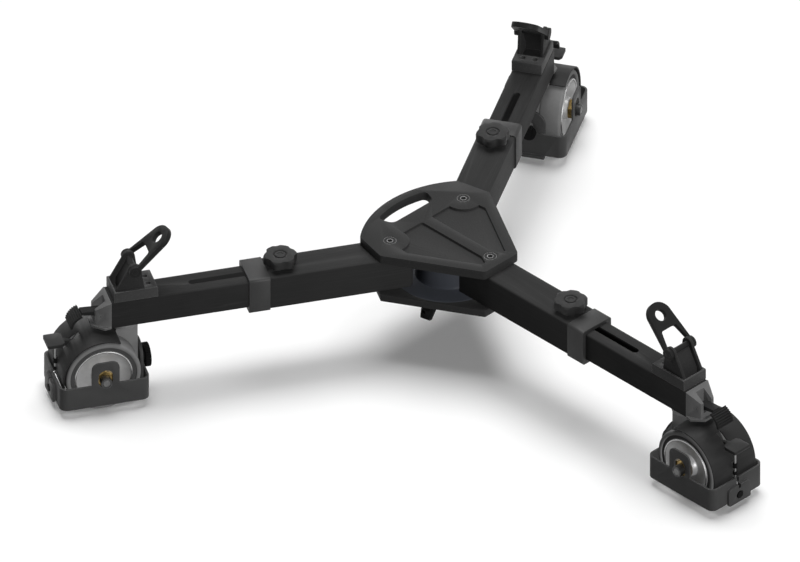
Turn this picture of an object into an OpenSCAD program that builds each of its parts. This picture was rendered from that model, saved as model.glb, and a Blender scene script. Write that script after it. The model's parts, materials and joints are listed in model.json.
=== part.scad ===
// Studio camera dolly with three telescopic arms, in millimetres.
// The hub axis is Z, the top face of the hub plate is z = 0, and the fixed arm lies along +X.
// An arm's pieces are drawn in the arm's own frame: x out from the hub axis, y across, z up.

/* [Hub] */
// Thickness of the top plate
plate_t = 16; // [13:0.5:20]
// Thickness of the bottom plate
base_t = 12.5; // [10:0.5:16]
// Distance of each arm's pivot from the hub axis
pivot_r = 96; // [94:1:100]
// Distance of the long plate edges from the hub axis
side_d = 93; // [91:1:96]
// Distance of the plate's tip edges from the hub axis
tip_d = 121.5; // [119:0.5:125]
// Distance of the two shoulder edges beside the handle from the hub axis
shoulder_d = 127.5; // [126:0.5:130]
// Angle of a shoulder edge's outward direction from the fixed arm
shoulder_a = 103.3; // [102:0.1:105]
// Reach of the carrying handle behind the hub axis
handle_reach = 127.5; // [125:0.5:135]
// Radius of the handle's outer curve
handle_r = 177; // [170:1:190]
// Width of the handle's rim outside the finger slot
rim_w = 14; // [11:1:18]
// Width of the finger slot
finger_w = 35; // [28:1:38]
// Length of the finger slot
finger_len = 108; // [90:1:110]
// Rounding of the plates' corners
plate_corner = 8; // [4:1:12]
// Rounding of the bottom plate's corners
base_corner = 3; // [2:1:8]
// Depth of the two pockets in the top plate
pocket_depth = 5; // [2:0.5:7]
// Width of the raised rib between the pockets
rib_w = 21; // [16:1:28]
// Margin between a pocket and the long plate edge
pocket_margin = 18; // [14:1:24]
// Distance from the hub axis to the pockets' wall on the handle side
pocket_back = 48.5; // [44:0.5:54]
// Distance from the hub axis to the pockets' outer end
pocket_tip = 103; // [98:1:108]
// Margin between a pocket and the shoulder edge
pocket_shoulder = 40; // [36:1:44]
// Radius of the raised land round each of the two folding arms' screws
land_r = 31; // [28:1:36]
// Radius of the lock drum's neck
drum_r = 52; // [44:1:53]
// Radius of the lock drum's flange
drum_flange_r = 88; // [80:1:90]
// Thickness of the lock drum's flange
drum_flange_t = 3; // [2:0.5:5]
// Radius of the lock lever's boss
lever_boss_r = 17; // [14:1:22]
// Height of the lock lever's boss
lever_boss_h = 14; // [10:1:18]
// Width of the lock lever's grip
lever_w = 16; // [12:1:20]
// Radius of the lock lever's shaft
lever_shaft_r = 8; // [6:0.5:10]
// Reach of the lock lever from the hub axis
lever_reach = 66; // [55:1:80]
// Drop of the lock lever's grip below the bottom plate
lever_drop = 46; // [36:1:56]
// Direction of the lock lever, seen from above
lever_a = -78; // [-120:1:-40]

/* [Pivots] */
// Outer radius of a pivot sleeve
sleeve_r = 10; // [8:0.5:12]
// Radius of a pivot screw's shank
screw_r = 6; // [4:0.5:7]
// Radius of a pivot screw's countersunk head
screw_head_r = 10.5; // [9:0.5:12]
// Height of a pivot screw's countersunk head
screw_head_h = 5.5; // [4:0.5:7]
// Width across the flats of the screws' hexagon socket
hex_af = 8; // [6:0.5:10]

/* [Arm tubes] */
// Width and height of the outer tube
outer_w = 60; // [56:1:64]
// Wall of the outer tube
outer_wall = 4; // [3:0.5:4.5]
// Reach of a folding arm's outer tube behind its pivot
pivot_back = 33; // [26:1:36]
// Reach of the fixed arm's outer tube behind its screw
fixed_back = 42; // [34:1:42]
// Corner radius of a folding arm's inner end, seen from above
fold_round = 14; // [8:1:16]
// Distance from the hub axis to the outer tube's outer end
outer_out = 335; // [310:1:380]
// Length of the collar on the outer tube's end
collar_len = 35; // [25:1:45]
// How far the collar stands proud of the outer tube
collar_proud = 2.5; // [1.5:0.5:3]
// Thickness of the collar's lip over the outer tube's end
collar_lip = 2.5; // [1.5:0.5:5]
// Wall of the inner tube
inner_wall = 4; // [3:0.5:5]
// Reach of the inner tube behind the clamp screw
tube_overlap = 30; // [28:1:40]
// How far the inner tube stands out of the outer tube
extension = 229; // [223:1:233]
// Width of the travel slot in the inner tube
travel_slot_w = 12; // [11:0.5:16]
// How far the travel slot lets the inner tube slide in
travel_in = 146; // [120:1:160]
// How far the travel slot lets the inner tube slide out
travel_out = 10; // [6:1:14]
// Outside corner radius of both tubes
tube_corner = 3; // [1:0.5:5]

/* [Star knob] */
// Distance from the outer tube's outer end back to the clamp screw
knob_back = 57; // [55:1:60]
// Radius of the star knob over its lobes
knob_r = 28; // [24:1:32]
// Depth of the scallops between the lobes
knob_scallop = 5; // [3:0.5:7]
// Height of the star knob above the outer tube
knob_h = 23; // [18:1:28]
// Radius of the clamp screw
clamp_screw_r = 5; // [4:0.5:5]

/* [Foot clamp] */
// Distance from the foot bracket's outer end to the inner tube's end
bracket_back = 4.5; // [2:0.5:10]
// Length of the foot bracket
bracket_len = 72.5; // [70:0.5:74]
// Height of the foot bracket
bracket_h = 19; // [16:0.5:24]
// Wall of the foot bracket's tray
bracket_wall = 3; // [2:0.5:4]
// Thickness of the foot bracket's floor
bracket_floor = 4; // [3:0.5:6]
// Length of the foot bracket's solid pad
pad_len = 21; // [18:0.5:22]
// Radius of a spike socket
socket_r = 4.5; // [3:0.5:6]
// Depth of a spike socket
socket_depth = 12; // [8:0.5:14]
// Spacing of the two spike sockets
socket_gap = 20; // [16:1:24]
// Distance of the clamp lever's pivot from the well's inner end
clamp_in = 17; // [15:1:20]
// Height of the clamp lever's pivot above the inner tube's top
clamp_rise = 55; // [49:1:61]
// Distance from the bracket's inner end to the centre of the spike sockets
socket_in = 13; // [11:0.5:14]
// Radius of the bosses round the clamp lever's pivot
clamp_boss_r = 11; // [9:0.5:12]
// Thickness of a saddle ear
ear_t = 4.5; // [3:0.5:6]
// Setback of the saddle's web behind the ears' outer edges
web_in = 9; // [6:0.5:12]
// Radius of the clamp pin
clamp_pin_r = 5; // [4:0.5:6]
// Distance from the clamp lever's pivot to the centre of its ring
ring_d = 61; // [56:1:70]
// Outer radius of the clamp lever's ring
ring_r = 22.5; // [20:0.5:25]
// Radius of the hole in the clamp lever's ring
ring_hole_r = 10; // [7:0.5:12]
// Thickness of the clamp lever
clamp_t = 9; // [7:0.5:11]
// Width of one leg of the clamp lever
leg_w = 6.5; // [5:0.5:8]
// Rise of the clamp lever above the horizontal, leaning towards the hub
clamp_a = 41.5; // [30:0.5:60]

/* [Direction lock] */
// Length of the end cap beyond the inner tube
cap_len = 24; // [22:1:28]
// Drop of the end cap's sloped face
cap_drop = 17; // [12:1:20]
// Half width of the end cap's nose
cap_nose = 14; // [12:0.5:18]
// Reach of the end cap's base flange beyond its nose
flange_out = 6; // [4:0.5:8]
// Thickness of the end cap's base flange
flange_t = 4; // [3:0.5:5]
// Width of the slot in the end cap
cap_slot_w = 18; // [15:0.5:19]
// Distance from the inner tube's end to the direction pedal's pin
lock_pin_out = 14; // [12:1:16]
// Drop of the direction pedal's pin below the inner tube's top
lock_pin_drop = 28; // [26:1:31]
// Radius of the direction pedal's pin
lock_pin_r = 3; // [2:0.5:3.5]
// Width of the direction pedal's bar
lock_bar_w = 16; // [12:0.5:17]
// Radius of the direction pedal's curved pad
lock_pad_r = 26.5; // [24:0.5:29]
// Depth of the teeth on the direction pedal's pad
tooth_depth = 1.8; // [1:0.2:2.4]
// Width of both pedals' pads
pedal_w = 34; // [28:1:40]

/* [Caster] */
// Distance from the caster's swivel axis to the inner tube's end
swivel_back = 25; // [23:1:27]
// Half length of the solid block that holds the spindle
block_half = 20; // [16:1:21]
// Radius of the swivel spindle
spindle_r = 12; // [9:0.5:14]
// Radius of the swivel head
head_r = 23; // [20:1:24]
// Trail of the axle behind the swivel axis
trail = 43.5; // [42:0.5:46]
// Drop of the axle below the inner tube
axle_drop = 76.5; // [75:0.5:79]
// Radius of a wheel
wheel_r = 62.5; // [60:0.5:63]
// Width of one wheel
wheel_w = 36; // [30:0.5:37]
// Thickness of the central leg
leg_t = 16; // [14:0.5:17]
// Radius of the axle
axle_r = 9; // [7:0.5:9]
// Radius of the end bosses on the axle
end_boss_r = 9.5; // [9.5:0.5:11]
// How far the axle's ends stand out of the guard
boss_out = 8; // [5:0.5:12]
// Width across the flats of the brass nuts
nut_af = 30; // [26:1:34]
// Gap between a wheel and the fender
fender_gap = 3; // [2:0.5:3.5]
// Angle from the horizontal down to the fender's outer end
fender_low = 20; // [10:1:24]
// Angle from the horizontal up and over to the fender's inner end
fender_over = 115; // [110:1:116]
// Thickness of the fender
fender_t = 2.5; // [2:0.5:3]
// Distance from the axle out to the brake pedal's pin
brake_out = 30.8; // [29:0.2:33]
// Rise of the brake pedal's pin above the axle
brake_up = 39.4; // [38:0.2:41]
// Radius of the brake pedal's pin
brake_pin_r = 3; // [2:0.5:3.5]

/* [Cable guard] */
// Length of the guard along the arm
guard_len = 148.5; // [148:0.5:151]
// Width of the guard
guard_w = 116; // [114:1:118]
// Height of the guard's band
guard_h = 41; // [34:0.5:43]
// Thickness of the guard's band
guard_t = 3; // [2:0.5:3.5]
// Rounding of the guard's corners
guard_corner = 12; // [8:1:16]
// Drop of the guard's upper edge below the axle
guard_drop = 6; // [4:0.5:10]
// Half width of the slot in a guard ear
guard_slot_r = 12; // [11.5:0.5:13]
// Half width of a guard ear
guard_ear_half = 23; // [19:0.5:26]
// Rounding of a guard ear's upper corners
guard_ear_round = 12; // [6:1:16]
// How far the guard can be let down
guard_travel = 9; // [5:0.5:10]
// Thickness of the guard's outer end plate
end_plate_t = 5; // [3:0.5:5]
// Thickness of the guard's arched plate, inside its inner end
arch_t = 4.7; // [4:0.1:5]
// Depth of the ledge under the guard's inner end
ledge_d = 6; // [4:0.5:8]
// Half width of the guard's two end plates
end_plate_r = 24.5; // [20:0.5:26]
// Radius of the large guard knob, on arm a
guard_knob_r = 20; // [16:0.5:22]
// Radius of the two small guard knobs, on arms b and c
small_knob_r = 12; // [10:0.5:15]
// Thickness of a guard knob
guard_knob_t = 12; // [10:0.5:14]

/* [Fits] */
// Gap between flat faces that slide over each other
face_gap = 0.3; // [0.2:0.05:0.5]
// Radial running clearance of a shaft in its hole
run_gap = 0.05; // [0.02:0.01:0.08]
// Gap between the inner tube and the outer tube's wall
tube_gap = 1; // [0.5:0.25:2]
// Gap between the inner tube and the collar
slide_gap = 0.15; // [0.1:0.05:0.3]

/* [Hidden] */
ARMS = ["a", "b", "c"];
ARM_ANGLE = [240, 120, 0];
FIXED_ARM = 2;
KNOB_ARM = 0;
SIDE_A = 60;
ARM_PIECES = ["outer_tube", "tube_collar", "star_knob", "inner_tube", "foot_bracket", "clamp_saddle",
    "clamp_lever", "clamp_pin", "end_cap", "direction_pedal", "caster_fork", "fender", "cable_guard",
    "guard_knob", "wheel_left", "wheel_right", "wheel_axle", "brake_pedal"];
HUB_PIECES = ["top_plate", "bottom_plate", "lock_drum", "lock_lever", "pivot_sleeves", "pivot_screws"];
$fn = 64;
eps = 0.01;

// Heights, from the hub plate's top face down
plate_bottom = -plate_t;
tube_top = plate_bottom - face_gap;
tube_mid = tube_top - outer_w / 2;
inner_w = outer_w - 2 * outer_wall - 2 * tube_gap;
tube_bottom = tube_top - outer_w;
inner_top = tube_mid + inner_w / 2;
inner_bottom = tube_mid - inner_w / 2;
base_top = tube_bottom - face_gap;
base_bottom = base_top - base_t;
axle_z = inner_bottom - axle_drop;
guard_top = axle_z - guard_drop;
guard_bottom = guard_top - guard_h;
clamp_z = inner_top + clamp_rise;
bracket_top = inner_top + bracket_h;
lock_pin_z = inner_top - lock_pin_drop;

// Distances along the arm, from the hub axis out
knob_x = outer_out - knob_back;
inner_in = knob_x - tube_overlap;
inner_out = outer_out + extension;
travel_slot_in = knob_x - travel_out - travel_slot_w / 2;
travel_slot_out = knob_x + travel_in + travel_slot_w / 2;
bracket_out = inner_out - bracket_back;
bracket_in = bracket_out - bracket_len;
well_in = bracket_in + pad_len;
clamp_x = well_in + clamp_in;
lock_pin_x = inner_out + lock_pin_out;
swivel_x = inner_out - swivel_back;
axle_x = swivel_x + trail;
fender_r = wheel_r + fender_gap;
guard_in = axle_x - guard_len / 2;
leg_in = guard_in + guard_t + arch_t + face_gap;
knob_z = axle_z - 1;
brake_pin = [axle_x + brake_out, axle_z + brake_up];

// The handle's outer curve
handle_cx = handle_r - handle_reach;
function handle_at(r, y) = handle_cx - sqrt(r * r - y * y);

// Where two lines cross, each given by its outward angle and its distance from the hub axis
function meet(a, d, b, e) = [d * sin(b) - e * sin(a), e * cos(a) - d * cos(b)] / sin(b - a);

// A closed outline with rounded corners, from points [x, y, corner radius]
function unit(v) = v / norm(v);
function turn(a) = a > 180 ? a - 360 : a < -180 ? a + 360 : a;
function fillet(a, b, c, r, n) =
    let (u = unit(a - b), v = unit(c - b), half = acos(u * v) / 2,
         m = b + unit(u + v) * r / sin(half),
         p = b + u * r / tan(half) - m, q = b + v * r / tan(half) - m,
         from = atan2(p.y, p.x), sweep = turn(atan2(q.y, q.x) - from))
    [for (i = [0:n]) m + r * [cos(from + sweep * i / n), sin(from + sweep * i / n)]];
function flat(p) = [p.x, p.y];
function rounded(pts, n = 5) = let (k = len(pts)) [for (i = [0:k - 1])
    each (pts[i][2] > 0 ? fillet(flat(pts[(i + k - 1) % k]), flat(pts[i]), flat(pts[(i + 1) % k]), pts[i][2], n)
                        : [flat(pts[i])])];
function mirrored(pts) = [for (i = [len(pts) - 1:-1:0]) [pts[i].x, -pts[i].y, pts[i][2]]];
function arc(c, r, from, to, n) = [for (i = [0:n]) let (a = from + (to - from) * i / n) c + r * [cos(a), sin(a)]];
function bare(pts) = [for (p = pts) [p.x, p.y, 0]];

// A flat outline in the arm's x and z, standing across the arm from y0 to y1
module across(y0, y1) { translate([0, y1, 0]) rotate([90, 0, 0]) linear_extrude(y1 - y0) children(); }

// A flat outline in the arm's y and z, running along the arm from x0 to x1
module along(x0, x1) { translate([x0, 0, 0]) rotate([90, 0, 90]) linear_extrude(x1 - x0) children(); }

module box_between(a, b) { translate(a) cube(b - a); }

module rod_y(x, z, r, y0, y1) { translate([x, y0, z]) rotate([-90, 0, 0]) cylinder(r = r, h = y1 - y0); }

module rod_x(z, r, x0, x1) { translate([x0, 0, z]) rotate([0, 90, 0]) cylinder(r = r, h = x1 - x0); }

module square_section(w, r) {
    translate([0, tube_mid]) polygon(rounded([for (s = [[1, 1], [-1, 1], [-1, -1], [1, -1]])
        [s.x * w / 2, s.y * w / 2, r]]));
}

// Places a piece at one arm, or at all three
module at_arm(i) { rotate([0, 0, ARM_ANGLE[i]]) children(); }

function pivot_at(i) = pivot_r * [cos(ARM_ANGLE[i]), sin(ARM_ANGLE[i])];

// The top plate's outline: a three-sided plate whose third side swells into the handle
function shoulder_end() =
    let (n = [cos(shoulder_a), sin(shoulder_a)], h = shoulder_d - handle_cx * n.x)
    [handle_cx, 0] + h * n + sqrt(handle_r * handle_r - h * h) * [-n.y, n.x];
module top_outline() {
    tip = meet(0, tip_d, SIDE_A, side_d);
    corner = meet(SIDE_A, side_d, shoulder_a, shoulder_d);
    end = shoulder_end();
    a = atan2(end.y, end.x - handle_cx) + 4;
    upper = [[tip.x, tip.y, plate_corner], [corner.x, corner.y, plate_corner], [end.x, end.y, plate_corner]];
    rim = arc([handle_cx, 0], handle_r, a, 360 - a, 24);
    polygon(rounded(concat(upper, bare(rim), mirrored(upper))));
}

// The bottom plate's outline: the same plate without the handle
module base_outline() {
    tips = [for (i = [2:-1:0]) each let (a = ARM_ANGLE[i], p = meet(a - SIDE_A, side_d, a, tip_d),
        q = meet(a, tip_d, a + SIDE_A, side_d)) [[p.x, p.y, base_corner], [q.x, q.y, base_corner]]];
    polygon(rounded(tips));
}

module finger_slot() {
    r = handle_r - rim_w;
    inner_x = -handle_reach + rim_w + finger_w;
    y = finger_len / 2;
    rim = [for (i = [-6:6]) let (t = i / 6 * (y - 12)) [handle_at(r, t), t, 0]];
    outer = concat([[handle_at(r, y), -y, 8]], rim, [[handle_at(r, y), y, 8]]);
    polygon(rounded(concat([[inner_x, y - 8, 13]], [for (i = [len(outer) - 1:-1:0]) outer[i]],
        [[inner_x, 8 - y, 13]])));
}

module pocket() {
    inset = side_d - pocket_margin;
    end = meet(0, pocket_tip, SIDE_A, inset);
    shoulder = meet(SIDE_A, inset, shoulder_a, shoulder_d - pocket_shoulder);
    pivot = pivot_at(1);
    difference() {
        polygon(rounded([[-pocket_back, rib_w / 2, 4], [pocket_tip - 16, rib_w / 2, 6],
            [pocket_tip, rib_w / 2 + 8, 2], [end.x, end.y, 2], [shoulder.x, shoulder.y, 5],
            [pivot.x, pivot.y, 0], [-pocket_back, pivot.y - land_r + 2, 0]]));
        translate(pivot) circle(land_r);
    }
}

module screw_hole() {
    translate([0, 0, -plate_t - eps]) cylinder(r = screw_r + run_gap, h = plate_t + 2 * eps);
    translate([0, 0, -screw_head_h]) cylinder(r1 = screw_r, r2 = screw_head_r, h = screw_head_h);
    translate([0, 0, -eps / 2]) cylinder(r = screw_head_r, h = eps);
}

module top_plate() {
    color("#2b2d2f") difference() {
        translate([0, 0, plate_bottom]) linear_extrude(plate_t) top_outline();
        translate([0, 0, plate_bottom - 1]) linear_extrude(plate_t + 2) finger_slot();
        for (m = [0, 1]) mirror([0, m, 0]) translate([0, 0, -pocket_depth]) linear_extrude(pocket_depth + 1) pocket();
        for (i = [0:2]) translate(pivot_at(i)) screw_hole();
    }
}

module bottom_plate() {
    color("#2b2d2f") difference() {
        translate([0, 0, base_bottom]) linear_extrude(base_t) base_outline();
        translate([0, 0, base_top - drum_flange_t]) cylinder(r = drum_flange_r + run_gap, h = drum_flange_t + 1);
        translate([0, 0, base_bottom - 1]) cylinder(r = lever_shaft_r + run_gap, h = base_t + 2);
        for (i = [0:2]) translate([0, 0, base_bottom + 2]) translate(pivot_at(i)) cylinder(r = screw_r, h = base_t);
    }
}

// The lock drum stands between the plates, with its flange let into the bottom plate
module lock_drum() {
    z0 = base_top - drum_flange_t;
    neck_foot = drum_r + 2;
    color("#3d434c") difference() {
        rotate_extrude() polygon([[lever_shaft_r + run_gap, z0], [drum_flange_r, z0], [drum_flange_r, base_top - 1],
            [drum_flange_r - 1, base_top], [neck_foot, base_top], [drum_r, base_top + 4],
            [drum_r, plate_bottom], [lever_shaft_r + run_gap, plate_bottom]]);
        for (i = [0:2]) translate([0, 0, z0 - 1]) translate(pivot_at(i)) cylinder(r = sleeve_r + 1, h = 10);
    }
}

module lock_lever() {
    z0 = base_bottom - face_gap;
    reach = lever_reach;
    drop = lever_drop;
    color("#141414") {
        translate([0, 0, z0 - lever_boss_h]) cylinder(r = lever_boss_r, h = lever_boss_h);
        translate([0, 0, z0 - 1]) cylinder(r = lever_shaft_r, h = plate_bottom - face_gap - z0 - 10);
        rotate([0, 0, lever_a]) translate([0, 0, z0]) across(-lever_w / 2, lever_w / 2) polygon(rounded([
            [0.1 * reach, -1, 0], [0.5 * reach, -0.08 * drop, 12], [reach, -0.5 * drop, 10],
            [1.05 * reach, -0.91 * drop, 4], [0.91 * reach, -drop, 5], [0.62 * reach, -0.62 * drop, 10],
            [0.35 * reach, -lever_boss_h, 8], [0.1 * reach, -lever_boss_h, 0]]));
    }
}

module pivot_sleeves() {
    color("#8b8f94") for (i = [0:2]) translate([0, 0, base_top]) translate(pivot_at(i)) difference() {
        cylinder(r = sleeve_r, h = plate_bottom - base_top);
        translate([0, 0, -1]) cylinder(r = screw_r + run_gap, h = plate_bottom - base_top + 2);
    }
}

module pivot_screws() {
    sink = 0.4;
    tip = base_bottom + 3;
    color("#b9bcc0") for (i = [0:2]) translate(pivot_at(i)) difference() {
        union() {
            translate([0, 0, tip]) cylinder(r = screw_r, h = -sink - tip);
            translate([0, 0, -screw_head_h]) cylinder(r1 = screw_r,
                r2 = screw_r + (screw_head_r - screw_r) * (1 - sink / screw_head_h), h = screw_head_h - sink);
        }
        translate([0, 0, -4.5]) cylinder(r = hex_af / sqrt(3), h = 5, $fn = 6);
    }
}

// The outer tube: a solid block closes its inner end, which is rounded where the arm folds
module outer_tube(i) {
    fixed = i == FIXED_ARM;
    outer_in = pivot_r - (fixed ? fixed_back : pivot_back);
    round_r = fixed ? tube_corner : fold_round;
    color("#232526") difference() {
        intersection() {
            along(outer_in, outer_out) square_section(outer_w, tube_corner);
            translate([0, 0, tube_bottom - 1]) linear_extrude(outer_w + 2) polygon(rounded([
                [outer_in, -outer_w / 2, round_r], [outer_out + 1, -outer_w / 2 - eps, 0],
                [outer_out + 1, outer_w / 2 + eps, 0], [outer_in, outer_w / 2, round_r]]));
        }
        along(pivot_r + sleeve_r + 4, outer_out + 1) square_section(outer_w - 2 * outer_wall, 1);
        translate([pivot_r, 0, tube_bottom - 1]) cylinder(r = sleeve_r + run_gap, h = outer_w + 2);
        translate([knob_x, 0, tube_top - outer_wall - 1]) cylinder(r = clamp_screw_r + run_gap, h = outer_wall + 2);
    }
}

module tube_collar() {
    w = outer_w + 2 * collar_proud;
    x1 = outer_out + collar_lip;
    color("#5b5f63") difference() {
        along(x1 - collar_len, x1) square_section(w, tube_corner + collar_proud);
        along(x1 - collar_len - 1, outer_out) square_section(outer_w, tube_corner);
        along(outer_out - 1, x1 + 1) square_section(inner_w + 2 * slide_gap, tube_corner);
    }
}

// A six-lobed outline
module lobes(r, depth) {
    polygon([for (i = [0:71]) let (a = i * 5, s = (r - depth / 2) + depth / 2 * cos(6 * a)) s * [cos(a), sin(a)]]);
}

module star_knob() {
    r = knob_r;
    h = knob_h;
    tip = inner_top - inner_wall + 0.5;
    color("#161717") translate([knob_x, 0, tube_top]) {
        intersection() {
            rotate_extrude() polygon([[0, face_gap], [0.45 * r, face_gap], [0.5 * r, 0.22 * h], [r + 1, 0.42 * h],
                [r + 1, 0.84 * h], [r - 3, h], [0.42 * r, h], [0.36 * r, h - 2], [0, h - 2]]);
            linear_extrude(h + 1) lobes(r, knob_scallop);
        }
        translate([0, 0, tip - tube_top]) cylinder(r = clamp_screw_r, h = tube_top - tip + 1);
    }
}

// The inner tube: the travel slot in its top takes the clamp screw, and the block in its end takes the spindle
module inner_tube() {
    hollow = inner_w - 2 * inner_wall;
    slot_r = travel_slot_w / 2;
    color("#232526") difference() {
        along(inner_in, inner_out) square_section(inner_w, tube_corner);
        along(inner_in - 1, swivel_x - block_half) square_section(hollow, 1);
        along(swivel_x + block_half, inner_out + 1) square_section(hollow, 1);
        translate([0, 0, inner_top - inner_wall - 1]) linear_extrude(inner_wall + 2) {
            for (x = [travel_slot_in + slot_r, travel_slot_out - slot_r]) translate([x, 0]) circle(slot_r);
            translate([travel_slot_in + slot_r, -slot_r])
                square([travel_slot_out - travel_slot_in - 2 * slot_r, travel_slot_w]);
        }
        translate([swivel_x, 0, inner_bottom - 1]) cylinder(r = spindle_r + run_gap, h = inner_w - inner_wall - 2);
    }
}

// The foot bracket: a tray for the clamp saddle, and a solid pad with two sockets for a twin-spike foot
module foot_bracket() {
    color("#4b4e52") difference() {
        across(-inner_w / 2, inner_w / 2) polygon(rounded([[bracket_in, inner_top, 0],
            [bracket_out, inner_top, 0], [bracket_out, bracket_top, 1.5], [bracket_in, bracket_top, 2.5]]));
        box_between([well_in, -inner_w / 2 + bracket_wall, inner_top + bracket_floor],
            [bracket_out - bracket_wall, inner_w / 2 - bracket_wall, bracket_top + 1]);
        for (s = [-1, 1]) translate([bracket_in + socket_in, s * socket_gap / 2, bracket_top - socket_depth])
            cylinder(r = socket_r, h = socket_depth + 1);
    }
}

// The clamp saddle: two ears joined by a floor and by a sloped web on their outer side
module clamp_saddle() {
    z0 = inner_top + bracket_floor;
    x0 = well_in + 1;
    x1 = bracket_out - bracket_wall - 1;
    outer = inner_w / 2 - bracket_wall - 0.5;
    shelf = bracket_top + 1;
    web_t = 3.5;
    slope = [[x1, z0], [x1, shelf], [clamp_x + clamp_boss_r, clamp_z]];
    web = [for (p = slope) p - [web_in, 0]];
    color("#2c2e30") difference() {
        union() {
            for (s = [-1, 1]) {
                y = s > 0 ? [outer - ear_t, outer] : [-outer, ear_t - outer];
                across(y[0], y[1]) {
                    polygon(concat([[x0, z0]], slope, [[clamp_x - clamp_boss_r, clamp_z], [x0, shelf]]));
                    translate([clamp_x, clamp_z]) circle(clamp_boss_r);
                }
            }
            across(ear_t - outer - eps, outer - ear_t + eps) {
                polygon([[x0, z0], [x1, z0], [x1, z0 + 3], [x0, z0 + 3]]);
                polygon(concat(web, [for (i = [2:-1:0]) web[i] - [web_t, 0]]));
            }
        }
        rod_y(clamp_x, clamp_z, clamp_pin_r + run_gap, -inner_w, inner_w);
    }
}

// The clamp lever: a bail whose legs straddle the saddle's ears and meet in a ring
module clamp_lever() {
    leg_in = inner_w / 2 - bracket_wall;
    leg_out = leg_in + leg_w;
    color("#1b1c1d") translate([clamp_x, 0, clamp_z]) rotate([0, -clamp_a, 180]) difference() {
        union() {
            translate([0, 0, -clamp_t / 2]) linear_extrude(clamp_t) {
                polygon([[0, -leg_out], [ring_d, -ring_r], [ring_d, ring_r], [0, leg_out]]);
                translate([ring_d, 0]) circle(ring_r);
            }
            rod_y(0, 0, clamp_boss_r - 1, -leg_out, leg_out);
        }
        translate([ring_d, 0, -clamp_t]) cylinder(r = ring_hole_r, h = 2 * clamp_t);
        translate([0, 0, -clamp_boss_r - 1]) linear_extrude(2 * clamp_boss_r + 2) polygon(rounded([
            [-clamp_boss_r - 1, -leg_in, 0], [12, -leg_in, 12], [ring_d - 24, leg_w - ring_r, 5],
            [ring_d - 24, ring_r - leg_w, 5], [12, leg_in, 12], [-clamp_boss_r - 1, leg_in, 0]]));
        rod_y(0, 0, clamp_pin_r, -leg_out - 1, leg_out + 1);
    }
}

module clamp_pin() {
    half = inner_w / 2 - bracket_wall + leg_w;
    color("#3a3c3f") rod_y(clamp_x, clamp_z, clamp_pin_r, -half, half);
}

// The end cap: a wedge that narrows outwards, with a slot for the direction pedal and a lip under it
module end_cap() {
    x1 = inner_out + cap_len;
    half = inner_w / 2;
    hollow = inner_w - 2 * inner_wall;
    slot_in = lock_pin_x - 8;
    plug = swivel_back - block_half;
    color("#8d9196") difference() {
        union() {
            intersection() {
                across(-half - 1, half + 1) polygon([[inner_out, inner_bottom], [x1, inner_bottom],
                    [x1, inner_top - cap_drop], [inner_out, inner_top]]);
                translate([0, 0, inner_bottom - 1]) linear_extrude(inner_w + 2) polygon([
                    [inner_out, -half], [x1, -cap_nose], [x1, cap_nose], [inner_out, half]]);
            }
            along(inner_out - plug + face_gap, inner_out + eps) square_section(hollow - 2 * run_gap, 1);
            translate([0, 0, inner_bottom]) linear_extrude(flange_t) polygon([[inner_out, -half],
                [inner_out + cap_len / 2, -half - 2], [x1 + flange_out, 3 - cap_nose],
                [x1 + flange_out, cap_nose - 3], [inner_out + cap_len / 2, half + 2], [inner_out, half]]);
        }
        box_between([slot_in, -cap_slot_w / 2, lock_pin_z - 9], [x1 + 1, cap_slot_w / 2, inner_top + 1]);
        rod_y(lock_pin_x, lock_pin_z, lock_pin_r + run_gap, -half, half);
    }
}

// The direction pedal: a bar out of the end cap's slot, with a toothed curved pad
module direction_pedal() {
    pin = [lock_pin_x, lock_pin_z];
    r = lock_pad_r;
    c = pin + [26, 7.5 - r];
    pitch = 9;
    teeth = [for (i = [0:7]) each [c + (r - tooth_depth) * [cos(5 + i * pitch), sin(5 + i * pitch)],
        c + r * [cos(5 + (i + 0.25) * pitch), sin(5 + (i + 0.25) * pitch)],
        c + r * [cos(5 + (i + 0.5) * pitch), sin(5 + (i + 0.5) * pitch)]]];
    pin_half = inner_w / 2 - (inner_w / 2 - cap_nose) * lock_pin_out / cap_len - 1;
    color("#202122") {
        across(-lock_bar_w / 2, lock_bar_w / 2) {
            polygon([pin - [0, 4.5], [c.x + 7, c.y + r - 6], [c.x + 5, c.y + r - 1], pin + [0, 4.5]]);
            translate(pin) circle(4.5);
        }
        across(-pedal_w / 2, pedal_w / 2) polygon(concat(teeth, arc(c, r - 4.5, 76, 5, 8)));
        rod_y(pin.x, pin.y, lock_pin_r, -pin_half, pin_half);
    }
}

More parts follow.
